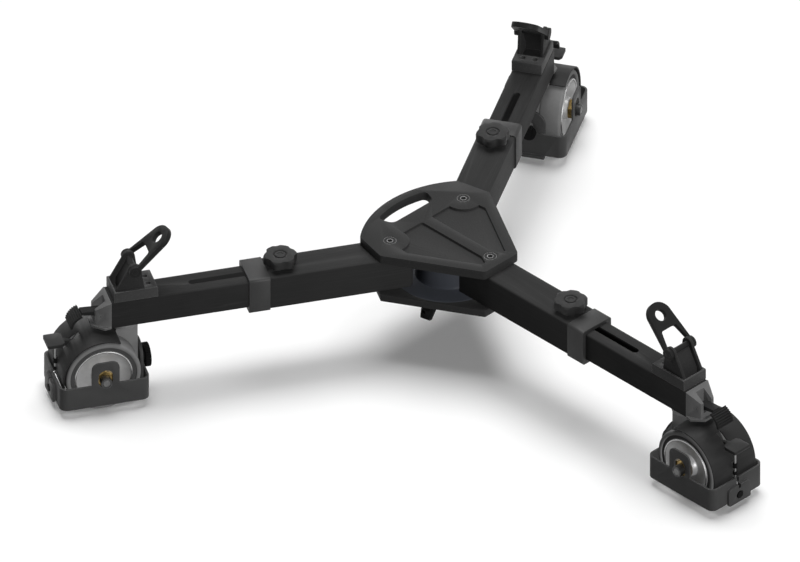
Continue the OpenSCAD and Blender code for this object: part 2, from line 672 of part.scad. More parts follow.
// The caster's fork: a spindle and head that swivel, and one central leg that carries the axle
module caster_fork() {
    head_top = inner_bottom - face_gap;
    head_bottom = head_top - 6;
    reach = fender_r - 0.1;
    axle = [axle_x, axle_z];
    seat = arc(axle, reach, fender_over + 2, 62, 10);
    pin = brake_pin;
    color("#85888c") difference() {
        union() {
            translate([swivel_x, 0, head_bottom]) cylinder(r = head_r, h = head_top - head_bottom);
            translate([swivel_x, 0, head_top - 1]) cylinder(r = spindle_r, h = inner_w - inner_wall - 5);
            across(-leg_t / 2, leg_t / 2) {
                polygon(concat([[leg_in + 4, head_bottom + 1], [swivel_x + 12, head_bottom + 1],
                    [swivel_x + 12, head_bottom - 5]], seat, [pin + [9, 6], pin + [8, -5],
                    axle + [17, 4], axle + [10, -14], axle + [-10, -14], [leg_in + 6, axle_z - 16],
                    [leg_in, axle_z - 12], [leg_in, head_bottom - 4]]));
                translate(axle) circle(axle_r + 8);
            }
        }
        rod_y(axle_x, axle_z, axle_r, -leg_t, leg_t);
        across(-4.1, 4.1) translate(pin) polygon([[-14, -3], [-4, -14], [20, -14], [20, 30], [-4, 30]]);
        rod_y(pin.x, pin.y, brake_pin_r + run_gap, -leg_t, leg_t);
        rod_x(knob_z, 4 + run_gap, leg_in - 1, leg_in + 24);
    }
}

module fender() {
    half = leg_t / 2 + 1.4 + wheel_w + 1;
    axle = [axle_x, axle_z];
    big = 2 * fender_r;
    low = -fender_low;
    color("#2a2c2e") difference() {
        across(-half, half) translate(axle) intersection() {
            difference() {
                circle(fender_r + fender_t, $fn = 128);
                circle(fender_r, $fn = 128);
            }
            polygon([[0, 0], for (a = [low, 30, 70, fender_over]) big * [cos(a), sin(a)]]);
        }
        across(-4.6, 4.6) translate(axle) polygon([[0, 0], big * [cos(33), sin(33)], big * [cos(64), sin(64)]]);
        across(-5, 5) translate(axle) polygon([[0, 0], big * [cos(-8), sin(-8)], big * [cos(18), sin(18)]]);
    }
}

// The cable guard: a band round both wheels, with an ear on each side and a plate on each end
module cable_guard() {
    half = guard_w / 2;
    x0 = guard_in;
    x1 = guard_in + guard_len;
    plate_bottom_z = guard_bottom - 3.5;
    slot_r = guard_slot_r;
    slot_top = axle_z + guard_travel;
    ear_top = slot_top + slot_r + 15;
    loop = [[x0, -half], [x1, -half], [x1, half], [x0, half]];
    color("#505357") difference() {
        union() {
            translate([0, 0, guard_bottom]) linear_extrude(guard_h) difference() {
                polygon(rounded([for (p = loop) [p.x, p.y, guard_corner]]));
                polygon(rounded([for (p = loop) let (s = [p.x == x0 ? 1 : -1, p.y < 0 ? 1 : -1])
                    [p.x + s.x * guard_t, p.y + s.y * guard_t, guard_corner - guard_t]]));
            }
            for (y = [[-half, guard_t - half], [half - guard_t, half]]) across(y[0], y[1]) polygon(rounded([
                [axle_x - guard_ear_half, guard_top - 1, 0], [axle_x + guard_ear_half, guard_top - 1, 0],
                [axle_x + guard_ear_half, ear_top, guard_ear_round],
                [axle_x - guard_ear_half, ear_top, guard_ear_round]]));
            along(x0 + guard_t - eps, x0 + guard_t + arch_t) {
                translate([0, slot_top]) circle(end_plate_r);
                translate([-end_plate_r, guard_bottom]) square([2 * end_plate_r, slot_top - guard_bottom]);
            }
            box_between([x0 - ledge_d, -end_plate_r, plate_bottom_z],
                [x0 + guard_t + arch_t, end_plate_r, guard_bottom + 1]);
            along(x1 - eps, x1 + end_plate_t) polygon(rounded([[-end_plate_r, plate_bottom_z, 3],
                [end_plate_r, plate_bottom_z, 3], [end_plate_r, guard_top - 12, 8], [-end_plate_r, guard_top - 12, 8]]));
        }
        across(-half - 1, half + 1) {
            for (z = [axle_z, slot_top]) translate([axle_x, z]) circle(slot_r);
            translate([axle_x - slot_r, axle_z]) square([2 * slot_r, guard_travel]);
        }
        along(x0 - 1, x0 + guard_t + arch_t + 1) {
            for (z = [knob_z, knob_z + guard_travel]) translate([0, z]) circle(4.3);
            translate([-4.3, knob_z]) square([8.6, guard_travel]);
        }
        along(x1 - guard_t - 1, x1 + end_plate_t + 1) {
            translate([0, guard_bottom + 10]) circle(7.5);
            translate([-2.5, guard_top - 20]) square([5, 21]);
        }
    }
}

// The guard's knob: a knurled head and a screw through the guard's inner end into the fork
module guard_knob(i) {
    x1 = guard_in - face_gap;
    knob = i == KNOB_ARM ? guard_knob_r : small_knob_r;
    knurls = round(1.8 * knob);
    collar = guard_knob_t / 4;
    color("#131313") {
        translate([0, 0, knob_z]) along(x1 - guard_knob_t, x1 - collar) polygon([for (k = [0:2 * knurls - 1])
            let (a = k * 180 / knurls, r = knob - (k % 2) * 1.2) r * [cos(a), sin(a)]]);
        rod_x(knob_z, knob * 0.6, x1 - collar - 1, x1);
        rod_x(knob_z, 4, x1 - collar - 1, leg_in + 20);
    }
}

// A wheel: a tyre ring, a wide groove, a raised rim, a dished face and a hub, turned about the axle
module wheel() {
    inner = leg_t / 2 + 1.4;
    outer = inner + wheel_w;
    r = wheel_r;
    profile = [[axle_r + run_gap, inner], [r - 4, inner, 4], [r, inner + 2.5, 4], [r, outer - 4, 4],
        [r - 4, outer, 4], [r - 7, outer - 0.4, 0], [r - 7.6, outer - 2.8, 0], [r - 13.9, outer - 2.8, 0],
        [r - 14.5, outer - 0.2, 0], [r - 16.5, outer - 0.2, 0], [r - 18, outer - 2, 0], [r - 24, outer - 5.5, 0],
        [r - 31, outer - 8, 0], [axle_r + 13, outer - 9, 0], [axle_r + 10, outer - 9, 0],
        [axle_r + 8.5, outer - 0.3, 0], [axle_r + run_gap, outer - 0.3, 0]];
    color("#a3a6a8") translate([axle_x, 0, axle_z]) rotate([-90, 0, 0]) rotate_extrude($fn = 96)
        polygon([for (p = profile) flat(p)]);
}

module wheel_left() { wheel(); }

module wheel_right() { mirror([0, 1, 0]) wheel(); }

// The axle, its end bosses outside the guard's ears and the brass nuts that hold the wheels
module wheel_axle() {
    nut_in = leg_t / 2 + 1.4 + wheel_w + 0.5;
    nut_out = guard_w / 2 - guard_t - 1;
    boss_end = guard_w / 2 + boss_out;
    color("#6f7276") {
        rod_y(axle_x, axle_z, axle_r, -nut_out, nut_out);
        for (m = [0, 1]) mirror([0, m, 0]) rod_y(axle_x, axle_z, end_boss_r, nut_out - eps, boss_end);
    }
    color("#b08a3e") for (s = [-1, 1]) translate([axle_x, s * (nut_in + nut_out) / 2, axle_z]) rotate([90, 0, 0])
        difference() {
            cylinder(r = nut_af / sqrt(3), h = nut_out - nut_in, center = true, $fn = 6);
            cylinder(r = axle_r, h = wheel_w, center = true);
        }
}

module brake_pedal() {
    pin = brake_pin;
    pad_in = pin.x + 25;
    pad_top = pin.y + 16;
    color("#242628") {
        across(-3.8, 3.8) {
            translate(pin) circle(6.5);
            polygon([pin + [-2, 6], [pad_in + 2, pad_top - 1], [pad_in + 12, pad_top - 5.5], pin + [12, -2], pin + [2, -6]]);
        }
        translate([0, 0, pad_top - 6]) linear_extrude(6) polygon(rounded([[pad_in, -pedal_w / 2 + 4, 3],
            [pad_in + 6, -pedal_w / 2, 3], [pad_in + 29, -pedal_w / 2, 2.5], [pad_in + 29, pedal_w / 2, 2.5],
            [pad_in + 6, pedal_w / 2, 3], [pad_in, pedal_w / 2 - 4, 3]]));
        rod_y(pin.x, pin.y, brake_pin_r, -leg_t / 2, leg_t / 2);
    }
}

top_plate();
bottom_plate();
lock_drum();
lock_lever();
pivot_sleeves();
pivot_screws();
for (i = [0:2]) {
    at_arm(i) outer_tube(i);
    at_arm(i) tube_collar();
    at_arm(i) star_knob();
    at_arm(i) inner_tube();
    at_arm(i) foot_bracket();
    at_arm(i) clamp_saddle();
    at_arm(i) clamp_lever();
    at_arm(i) clamp_pin();
    at_arm(i) end_cap();
    at_arm(i) direction_pedal();
    at_arm(i) caster_fork();
    at_arm(i) fender();
    at_arm(i) cable_guard();
    at_arm(i) guard_knob(i);
    at_arm(i) wheel_left();
    at_arm(i) wheel_right();
    at_arm(i) wheel_axle();
    at_arm(i) brake_pedal();
}
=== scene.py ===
# Dresses the studio camera dolly: anodised and coated metal, moulded knobs, wheels and brass nuts.
# An arm's new pieces are modelled in millimetres in the frame of arm C, which lies along X, and are then
# turned to each arm. Their places come from the boxes of arm C's own pieces.

import json
import math

import bmesh
import bpy
from mathutils import Matrix, Vector


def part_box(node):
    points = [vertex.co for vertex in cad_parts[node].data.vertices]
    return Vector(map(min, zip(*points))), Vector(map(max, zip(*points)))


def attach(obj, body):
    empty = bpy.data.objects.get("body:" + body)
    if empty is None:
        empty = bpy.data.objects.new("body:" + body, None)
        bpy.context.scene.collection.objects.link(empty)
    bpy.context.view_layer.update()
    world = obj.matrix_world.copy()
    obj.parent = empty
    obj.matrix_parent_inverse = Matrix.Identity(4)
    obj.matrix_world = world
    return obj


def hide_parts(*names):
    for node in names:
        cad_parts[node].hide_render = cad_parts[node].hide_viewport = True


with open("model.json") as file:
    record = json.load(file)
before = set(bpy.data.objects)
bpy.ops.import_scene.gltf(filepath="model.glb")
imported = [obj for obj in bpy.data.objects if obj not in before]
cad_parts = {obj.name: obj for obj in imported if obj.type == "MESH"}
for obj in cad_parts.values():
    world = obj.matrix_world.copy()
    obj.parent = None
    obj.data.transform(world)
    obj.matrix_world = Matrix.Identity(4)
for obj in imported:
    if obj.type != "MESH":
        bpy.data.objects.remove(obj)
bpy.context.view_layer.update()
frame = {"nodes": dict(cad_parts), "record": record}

MM = 0.001
ARM_ANGLE = {"a": 240, "b": 120, "c": 0}
RECORD = frame["record"]
BODY_OF = {name: body for body, names in RECORD["behaviour"]["bodies"].items() for name in names}


# Colour and nodes

def linear(code):
    """The linear colour of an sRGB hex code."""
    parts = [int(code[i:i + 2], 16) / 255 for i in (1, 3, 5)]
    return [c / 12.92 if c <= 0.04045 else ((c + 0.055) / 1.055) ** 2.4 for c in parts] + [1.0]


def feed(node, inputs):
    """Sets a node's inputs: a node or a socket is linked, a hex code is a colour, a number is a value."""
    for name, value in inputs.items():
        if isinstance(value, bpy.types.Node):
            value = next(socket for socket in value.outputs if socket.enabled)
        if isinstance(value, bpy.types.NodeSocket):
            node.id_data.links.new(value, node.inputs[name])
        else:
            node.inputs[name].default_value = linear(value) if isinstance(value, str) else value


def add(tree, kind, inputs=None, stops=(), **settings):
    """Adds a node with its settings, its inputs and, on a ramp, its colour stops."""
    node = tree.nodes.new(kind)
    for name, value in settings.items():
        setattr(node, name, value)
    for i, (place, code) in enumerate(stops):
        stop = node.color_ramp.elements[i] if i < 2 else node.color_ramp.elements.new(place)
        stop.position = place
        stop.color = linear(code)
    feed(node, inputs or {})
    return node


# Finishes. The levels and greys are read at even studio light, in which a colour shows about as written.
# Grit, grain, peel, die lines and tool marks are finer on the real pieces. They are drawn as coarse as they
# need to be to show.

# Levels of a cloud of noise at which a surface has its dark and its light tone
DARK_AT = 0.3
LIGHT_AT = 0.7
# The dot product of a corner's rounded normal and the face's own, where the paler corner, part wear and part
# painted highlight, is full and where it ends
EDGE_FULL_AT = 0.86
EDGE_NONE_AT = 0.99


def start_material(name):
    """A new material: itself, its tree, its shader and the object coordinates."""
    material = bpy.data.materials.new(name)
    material.use_nodes = True
    tree = material.node_tree
    return material, tree, tree.nodes["Principled BSDF"], add(tree, "ShaderNodeTexCoord").outputs["Object"]


def two_tones(tree, where, dark, light, patch, detail=3.0):
    """A soft cloud with patches of a size in millimetres, and the colour that it gives."""
    cloud = add(tree, "ShaderNodeTexNoise", {"Vector": where, "Scale": 1 / (patch * MM), "Detail": detail})
    return cloud, add(tree, "ShaderNodeValToRGB", {"Fac": cloud}, [(DARK_AT, dark), (LIGHT_AT, light)])


def corner_wear_and_highlight(tree, radius, most):
    """How pale a corner is painted, partly as wear and partly as a painted edge highlight: most within a
    radius, in millimetres, of a corner, and 0 on a flat.
    """
    rounded = add(tree, "ShaderNodeBevel", {"Radius": radius * MM}, samples=4)
    true = add(tree, "ShaderNodeNewGeometry").outputs["Normal"]
    lean = add(tree, "ShaderNodeVectorMath", {0: rounded, 1: true}, operation="DOT_PRODUCT").outputs["Value"]
    return add(tree, "ShaderNodeMapRange", {"Value": lean, "From Min": EDGE_FULL_AT, "From Max": EDGE_NONE_AT,
                                            "To Min": most, "To Max": 0.0})


def hard_anodised(name, dark, light, wear_and_highlight):
    """Hard anodised aluminium, milled and bead blasted: near black, matt and gritty, edges paler, partly
    rubbed and partly a painted highlight.
    """
    material, tree, skin, where = start_material(name)
    cloud, base = two_tones(tree, where, dark, light, patch=45)
    grit = add(tree, "ShaderNodeTexNoise", {"Vector": where, "Scale": 1 / (1.6 * MM), "Detail": 2.0})
    sparkle = add(tree, "ShaderNodeMapRange", {"Value": grit, "From Min": 0.5, "From Max": 0.8,
                                               "To Max": 0.12})
    base = add(tree, "ShaderNodeMix", {"Factor": sparkle, "A": base, "B": "#6a6a6a"}, data_type="RGBA")
    # Paler corners: partly wear, partly a painted edge highlight
    paler_mask = corner_wear_and_highlight(tree, radius=0.9, most=0.5)
    base = add(tree, "ShaderNodeMix", {"Factor": paler_mask, "A": base, "B": wear_and_highlight}, data_type="RGBA")
    gloss = add(tree, "ShaderNodeMapRange", {"Value": cloud, "From Min": DARK_AT, "From Max": LIGHT_AT,
                                             "To Min": 0.48, "To Max": 0.58})
    relief = add(tree, "ShaderNodeBump", {"Height": grit, "Distance": 0.05 * MM, "Strength": 0.3})
    feed(skin, {"Base Color": base, "Roughness": gloss, "Normal": relief, "Specular IOR Level": 0.04})
    return material


def anodised_extrusion(name, turn, dark, light, scuff):
    """Black anodised aluminium extrusion: fine die lines along the tube, and faint scuffs from sliding."""
    material, tree, skin, where = start_material(name)
    along = add(tree, "ShaderNodeMapping", {"Vector": where, "Rotation": (0, 0, -math.radians(turn))})
    drawn = add(tree, "ShaderNodeMapping", {"Vector": along, "Scale": (0.02, 1, 1)})
    die = add(tree, "ShaderNodeTexNoise", {"Vector": drawn, "Scale": 1 / (1.4 * MM), "Detail": 2.0})
    slid = add(tree, "ShaderNodeMapping", {"Vector": along, "Scale": (0.06, 1, 1)})
    streak = add(tree, "ShaderNodeTexNoise", {"Vector": slid, "Scale": 1 / (7 * MM), "Detail": 4.0})
    _, base = two_tones(tree, where, dark, light, patch=60)
    line = add(tree, "ShaderNodeMapRange", {"Value": die, "From Min": 0.5, "From Max": 0.75, "To Max": 0.16})
    base = add(tree, "ShaderNodeMix", {"Factor": line, "A": base, "B": "#4c4c4c"}, data_type="RGBA")
    paler_mask = add(tree, "ShaderNodeMapRange", {"Value": streak, "From Min": 0.62, "From Max": 0.76,
                                           "To Max": scuff})
    base = add(tree, "ShaderNodeMix", {"Factor": paler_mask, "A": base, "B": "#545454"}, data_type="RGBA")
    # Paler corners: partly wear, partly a painted edge highlight
    wear_and_highlight_mask = corner_wear_and_highlight(tree, radius=0.7, most=0.35)
    base = add(tree, "ShaderNodeMix", {"Factor": wear_and_highlight_mask, "A": base, "B": "#5e5e5e"}, data_type="RGBA")
    gloss = add(tree, "ShaderNodeMapRange", {"Value": die, "To Min": 0.42, "To Max": 0.56})
    relief = add(tree, "ShaderNodeBump", {"Height": die, "Distance": 0.04 * MM, "Strength": 0.3})
    feed(skin, {"Base Color": base, "Roughness": gloss, "Normal": relief, "Specular IOR Level": 0.015})
    return material


def blue_anodised():
    """Blue-grey anodised aluminium, turned on a lathe: fine rings round the axis, a lower drum painted
    lighter against the top plate's shadow, and a neck painted darker as shade.
    """
    material, tree, skin, where = start_material("blue_anodised_drum")
    rings = add(tree, "ShaderNodeTexWave",
                {"Vector": where, "Scale": 1 / (9 * MM), "Distortion": 0.4, "Detail": 1.0},
                wave_type="BANDS", bands_direction="Z")
    # Painted light: the lower drum's tones are lighter, to lift the shade under the top plate
    _, base = two_tones(tree, where, "#5c6068", "#63676f", patch=30)
    height = add(tree, "ShaderNodeSeparateXYZ", {"Vector": where}).outputs["Z"]
    # Painted shade: above the neck's foot the drum turns darker, to offset the side light on the neck
    painted_shade_neck = add(tree, "ShaderNodeMapRange", {"Value": height, "From Min": NECK_FOOT - MM,
                                            "From Max": NECK_FOOT})
    base = add(tree, "ShaderNodeMix", {"Factor": painted_shade_neck, "A": base, "B": "#3f4249"}, data_type="RGBA")
    gloss = add(tree, "ShaderNodeMapRange", {"Value": rings, "To Min": 0.36, "To Max": 0.48})
    relief = add(tree, "ShaderNodeBump", {"Height": rings, "Distance": 0.03 * MM, "Strength": 0.3})
    feed(skin, {"Base Color": base, "Roughness": gloss, "Normal": relief, "Specular IOR Level": 0.12})
    return material


def blasted_casting(name, dark, light, wear_and_highlight, metallic, sheen, rough):
    """Anodised aluminium casting, bead blasted: a soft even sheen, fine grit and paler edges, partly worn and
    partly a painted highlight.
    """
    material, tree, skin, where = start_material(name)
    cloud, base = two_tones(tree, where, dark, light, patch=25)
    grit = add(tree, "ShaderNodeTexNoise", {"Vector": where, "Scale": 1 / (1.3 * MM), "Detail": 2.0})
    sparkle = add(tree, "ShaderNodeMapRange", {"Value": grit, "From Min": 0.5, "From Max": 0.8,
                                               "To Max": 0.1})
    base = add(tree, "ShaderNodeMix", {"Factor": sparkle, "A": base, "B": wear_and_highlight}, data_type="RGBA")
    # Paler corners: partly wear, partly a painted edge highlight
    wear_and_highlight_mask = corner_wear_and_highlight(tree, radius=0.9, most=0.7)
    base = add(tree, "ShaderNodeMix", {"Factor": wear_and_highlight_mask, "A": base, "B": wear_and_highlight}, data_type="RGBA")
    gloss = add(tree, "ShaderNodeMapRange", {"Value": cloud, "From Min": DARK_AT, "From Max": LIGHT_AT,
                                             "To Min": rough, "To Max": rough + 0.1})
    relief = add(tree, "ShaderNodeBump", {"Height": grit, "Distance": 0.05 * MM, "Strength": 0.35})
    feed(skin, {"Base Color": base, "Roughness": gloss, "Normal": relief, "Metallic": metallic,
                "Specular IOR Level": sheen})
    return material


def powder_coat(name, dark, light, wear_and_highlight, sheen):
    """Powder-coated steel: a shallow orange peel, and paler patches along the corners, partly wear and partly
    a painted edge highlight.
    """
    material, tree, skin, where = start_material(name)
    cloud, base = two_tones(tree, where, dark, light, patch=35)
    peel = add(tree, "ShaderNodeTexNoise", {"Vector": where, "Scale": 1 / (2.2 * MM), "Detail": 1.0})
    chips = add(tree, "ShaderNodeTexNoise", {"Vector": where, "Scale": 1 / (6 * MM), "Detail": 4.0})
    # Paler patches at the corners: partly wear, partly a painted edge highlight
    edge = corner_wear_and_highlight(tree, radius=0.9, most=0.9)
    patch = add(tree, "ShaderNodeMapRange", {"Value": chips, "From Min": 0.4, "From Max": 0.65,
                                             "To Min": 0.25, "To Max": 1.0})
    wear_and_highlight_mask = add(tree, "ShaderNodeMath", {0: edge, 1: patch}, operation="MULTIPLY")
    base = add(tree, "ShaderNodeMix", {"Factor": wear_and_highlight_mask, "A": base, "B": wear_and_highlight}, data_type="RGBA")
    gloss = add(tree, "ShaderNodeMapRange", {"Value": cloud, "From Min": DARK_AT, "From Max": LIGHT_AT,
                                             "To Min": 0.42, "To Max": 0.54})
    relief = add(tree, "ShaderNodeBump", {"Height": peel, "Distance": 0.12 * MM, "Strength": 0.3})
    feed(skin, {"Base Color": base, "Roughness": gloss, "Normal": relief, "Specular IOR Level": sheen})
    return material


def moulded_nylon():
    """Glass-filled nylon, moulded in a spark-eroded tool: black, fine grained, a dull sheen."""
    material, tree, skin, where = start_material("glass_filled_nylon")
    _, base = two_tones(tree, where, "#232323", "#292929", patch=18)
    grain = add(tree, "ShaderNodeTexNoise", {"Vector": where, "Scale": 1 / (0.9 * MM), "Detail": 3.0,
                                             "Roughness": 0.7})
    fibre = add(tree, "ShaderNodeMapRange", {"Value": grain, "From Min": 0.5, "From Max": 0.75,
                                             "To Max": 0.25})
    base = add(tree, "ShaderNodeMix", {"Factor": fibre, "A": base, "B": "#363636"}, data_type="RGBA")
    gloss = add(tree, "ShaderNodeMapRange", {"Value": grain, "To Min": 0.42, "To Max": 0.6})
    relief = add(tree, "ShaderNodeBump", {"Height": grain, "Distance": 0.08 * MM, "Strength": 0.4})
    feed(skin, {"Base Color": base, "Roughness": gloss, "Normal": relief, "Specular IOR Level": 0.14})
    return material


def turned_steel(name, dark, light, rough):
    """Turned steel: bare metal whose fine tool marks blur its reflections."""
    material, tree, skin, where = start_material(name)
    _, base = two_tones(tree, where, dark, light, patch=9)
    fine = add(tree, "ShaderNodeTexNoise", {"Vector": where, "Scale": 1 / (0.8 * MM), "Detail": 3.0})
    gloss = add(tree, "ShaderNodeMapRange", {"Value": fine, "To Min": rough, "To Max": rough + 0.15})
    relief = add(tree, "ShaderNodeBump", {"Height": fine, "Distance": 0.02 * MM, "Strength": 0.3})
    feed(skin, {"Base Color": base, "Roughness": gloss, "Normal": relief, "Metallic": 1.0})
    return material


def brass():
    """Free-machining brass hexagon bar: warm yellow, lightly tarnished, faced on a lathe."""
    material, tree, skin, where = start_material("free_machining_brass")
    cloud, base = two_tones(tree, where, "#655433", "#a38b58", patch=6, detail=4.0)
    fine = add(tree, "ShaderNodeTexNoise", {"Vector": where, "Scale": 1 / (0.7 * MM), "Detail": 2.0})
    gloss = add(tree, "ShaderNodeMapRange", {"Value": cloud, "From Min": DARK_AT, "From Max": LIGHT_AT,
                                             "To Min": 0.38, "To Max": 0.24})
    relief = add(tree, "ShaderNodeBump", {"Height": fine, "Distance": 0.02 * MM, "Strength": 0.3})
    feed(skin, {"Base Color": base, "Roughness": gloss, "Normal": relief, "Metallic": 1.0})
    return material


def cast_polyurethane(name, dark, light, dust):
    """Cast polyurethane: grey and matt, with a film of floor dust and small scuffs."""
    material, tree, skin, where = start_material(name)
    cloud, base = two_tones(tree, where, dark, light, patch=14, detail=4.0)
    specks = add(tree, "ShaderNodeTexNoise", {"Vector": where, "Scale": 1 / (1.8 * MM), "Detail": 3.0})
    film = add(tree, "ShaderNodeMapRange", {"Value": specks, "From Min": 0.6, "From Max": 0.78,
                                            "To Max": 0.3})
    base = add(tree, "ShaderNodeMix", {"Factor": film, "A": base, "B": dust}, data_type="RGBA")
    gloss = add(tree, "ShaderNodeMapRange", {"Value": cloud, "To Min": 0.46, "To Max": 0.62})
    relief = add(tree, "ShaderNodeBump", {"Height": specks, "Distance": 0.06 * MM, "Strength": 0.25})
    feed(skin, {"Base Color": base, "Roughness": gloss, "Normal": relief, "Specular IOR Level": 0.0})
    return material


def faced_aluminium():
    """Die-cast aluminium wheel centre, faced on a lathe: silver grey and satin, a little uneven."""
    material, tree, skin, where = start_material("faced_cast_aluminium")
    _, base = two_tones(tree, where, "#b6b6b6", "#c2c2c2", patch=11)
    fine = add(tree, "ShaderNodeTexNoise", {"Vector": where, "Scale": 1 / (1.1 * MM), "Detail": 2.0})
    gloss = add(tree, "ShaderNodeMapRange", {"Value": fine, "To Min": 0.26, "To Max": 0.4})
    relief = add(tree, "ShaderNodeBump", {"Height": fine, "Distance": 0.03 * MM, "Strength": 0.3})
    feed(skin, {"Base Color": base, "Roughness": gloss, "Normal": relief, "Metallic": 0.25,
                "Specular IOR Level": 0.5})
    return material


def rubber():
    """Moulded black rubber: matt and a little uneven."""
    material, tree, skin, where = start_material("moulded_rubber")
    cloud, base = two_tones(tree, where, "#0d0d0d", "#131313", patch=5)
    fine = add(tree, "ShaderNodeTexNoise", {"Vector": where, "Scale": 1 / MM, "Detail": 2.0})
    gloss = add(tree, "ShaderNodeMapRange", {"Value": cloud, "To Min": 0.6, "To Max": 0.78})
    relief = add(tree, "ShaderNodeBump", {"Height": fine, "Distance": 0.05 * MM, "Strength": 0.35})
    feed(skin, {"Base Color": base, "Roughness": gloss, "Normal": relief, "Specular IOR Level": 0.06})
    return material


# The drum's neck, painted darker as shade, starts just above the bottom plate's top face
NECK_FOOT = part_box("bottom_plate")[1].z + 0.4 * MM

# In the plate, saddle, cast and coated finishes the third colour is the paler corners: partly wear, partly a
# painted edge highlight
PLATE = hard_anodised("hard_anodised_plate", "#333333", "#353535", "#5c5c5c")
SADDLE = hard_anodised("hard_anodised_saddle", "#2e2e2e", "#323232", "#6a6a6a")
OUTER = {arm: anodised_extrusion(f"anodised_outer_tube_{arm}", turn, "#353535", "#373737", 0.0)
         for arm, turn in ARM_ANGLE.items()}
INNER = {arm: anodised_extrusion(f"anodised_inner_tube_{arm}", turn, "#303030", "#343434", 0.25)
         for arm, turn in ARM_ANGLE.items()}
DRUM = blue_anodised()
COLLAR = blasted_casting("grey_anodised_collar", "#3b3b3b", "#3f3f3f", "#6c6c6c", metallic=0.6, sheen=0.04,
                         rough=0.48)
BRACKET = blasted_casting("grey_anodised_bracket", "#404040", "#444444", "#a4a4a4", metallic=0.0, sheen=0.06,
                          rough=0.45)
CAP = blasted_casting("blasted_end_cap", "#626262", "#686868", "#a0a0a0", metallic=0.0, sheen=0.1, rough=0.4)
CAP_PIN = blasted_casting("end_cap_pin", "#626262", "#686868", "#686868", metallic=0.0, sheen=0.1, rough=0.4)
FORK = blasted_casting("blasted_fork", "#7a7a7a", "#808080", "#b0b0b0", metallic=0.1, sheen=0.2, rough=0.42)
STEEL_COAT = powder_coat("black_powder_coat", "#1e1e1e", "#232323", "#4e4e4e", sheen=0.08)
SHEET_COAT = powder_coat("fender_powder_coat", "#2a2a2a", "#2e2e2e", "#4a4a4a", sheen=0.08)
PEDAL_COAT = powder_coat("pedal_powder_coat", "#202020", "#242424", "#323232", sheen=0.05)
GUARD_COAT = powder_coat("guard_powder_coat", "#464646", "#4a4a4a", "#868686", sheen=0.08)
NYLON = moulded_nylon()
SLEEVE = turned_steel("ground_steel", "#858585", "#a2a2a2", rough=0.3)
AXLE_STEEL = turned_steel("turned_axle_steel", "#3e3e3e", "#4a4a4a", rough=0.34)
END_STEEL = turned_steel("faced_axle_end", "#565656", "#646464", rough=0.3)
# Bright bare steel for the wheels' lips and the screws' bands, which also stands in for their highlights
BARE_STEEL_AND_HIGHLIGHT = turned_steel("bare_steel_and_highlight", "#8c8c8c", "#b4b4b4", rough=0.3)
ROD_STEEL = turned_steel("drawn_steel_rod", "#747474", "#868686", rough=0.34)
BRASS = brass()
TREAD = cast_polyurethane("cast_polyurethane_tread", "#808080", "#888888", "#989898")
BAND = cast_polyurethane("cast_polyurethane_band", "#4c4c4c", "#525252", "#6a6a6a")
CENTRE = faced_aluminium()
RUBBER = rubber()


# Piece helpers

# Closer than this, in millimetres, two corners of a CAD mesh are one corner
MERGE = 0.02
# Closer than this, in millimetres, two points of a turned piece are one point
WELD = 0.001
# Faces of a CAD mesh that lean by less than this, in degrees, are one face
FLAT = 0.6
# Corners sharper than this, in degrees, are edges
SHARP = 32


def finish_mesh(piece, bevel_mm=0.0, segments=2, angle=SHARP):
    """Smooth shading, with the edges broken by a bevel, or left sharp without one."""
    piece.data.polygons.foreach_set("use_smooth", [True] * len(piece.data.polygons))
    if bevel_mm:
        bevel = piece.modifiers.new("broken_edges", "BEVEL")
        bevel.width = bevel_mm * MM
        bevel.segments = segments
        bevel.limit_method = "ANGLE"
        bevel.angle_limit = math.radians(angle)
        bevel.harden_normals = True
        bevel.use_clamp_overlap = True
    else:
        piece.data.set_sharp_from_angle(angle=math.radians(angle))
    return piece


def as_piece(name, bm, material):
    """A new object from a bmesh, with one material."""
    mesh = bpy.data.meshes.new(name)
    bm.to_mesh(mesh)
    bm.free()
    piece = bpy.data.objects.new(name, mesh)
    bpy.context.scene.collection.objects.link(piece)
    mesh.materials.append(material)
    return piece


def dress(piece, node, replaces=False):
    """The piece moves with a node's body, and may stand for the node."""
    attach(piece, BODY_OF[node])
    if replaces:
        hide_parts(node)
    return piece


def refined(node, material, bevel_mm, segments=2):
    """A copy of a CAD node, with its edges broken by bevel_mm millimetres, which stands for the node."""
    bm = bmesh.new()
    bm.from_mesh(frame["nodes"][node].data)
    bmesh.ops.remove_doubles(bm, verts=bm.verts, dist=MERGE * MM)
    bmesh.ops.dissolve_limit(bm, angle_limit=math.radians(FLAT), verts=bm.verts, edges=bm.edges)
    piece = as_piece(node + "_finished", bm, material)
    finish_mesh(piece, bevel_mm, segments)
    return dress(piece, node, replaces=True)


def turned(outline, steps):
    """A bmesh from an outline of (radius, y) points in millimetres, spun about the Y axis."""
    bm = bmesh.new()
    verts = [bm.verts.new((radius, y, 0)) for radius, y in outline]
    edges = [bm.edges.new(pair) for pair in zip(verts, verts[1:])]
    starts_on_axis = outline[0][0] == 0
    if not starts_on_axis:
        edges.append(bm.edges.new((verts[-1], verts[0])))
    bmesh.ops.spin(bm, geom=verts + edges, cent=(0, 0, 0), axis=(0, 1, 0), angle=2 * math.pi, steps=steps,
                   use_merge=True)
    bmesh.ops.remove_doubles(bm, verts=bm.verts, dist=WELD)
    bmesh.ops.recalc_face_normals(bm, faces=bm.faces)
    return bm


def settle(bm, arm, place, turn):
    """Turns a piece about its own origin and moves it, in millimetres, to its place on an arm."""
    to_arm = Matrix.Rotation(math.radians(ARM_ANGLE[arm]), 4, "Z") @ Matrix.Diagonal((MM, MM, MM, 1))
    bmesh.ops.transform(bm, matrix=to_arm @ Matrix.Translation(place) @ turn, verts=bm.verts)
    return bm


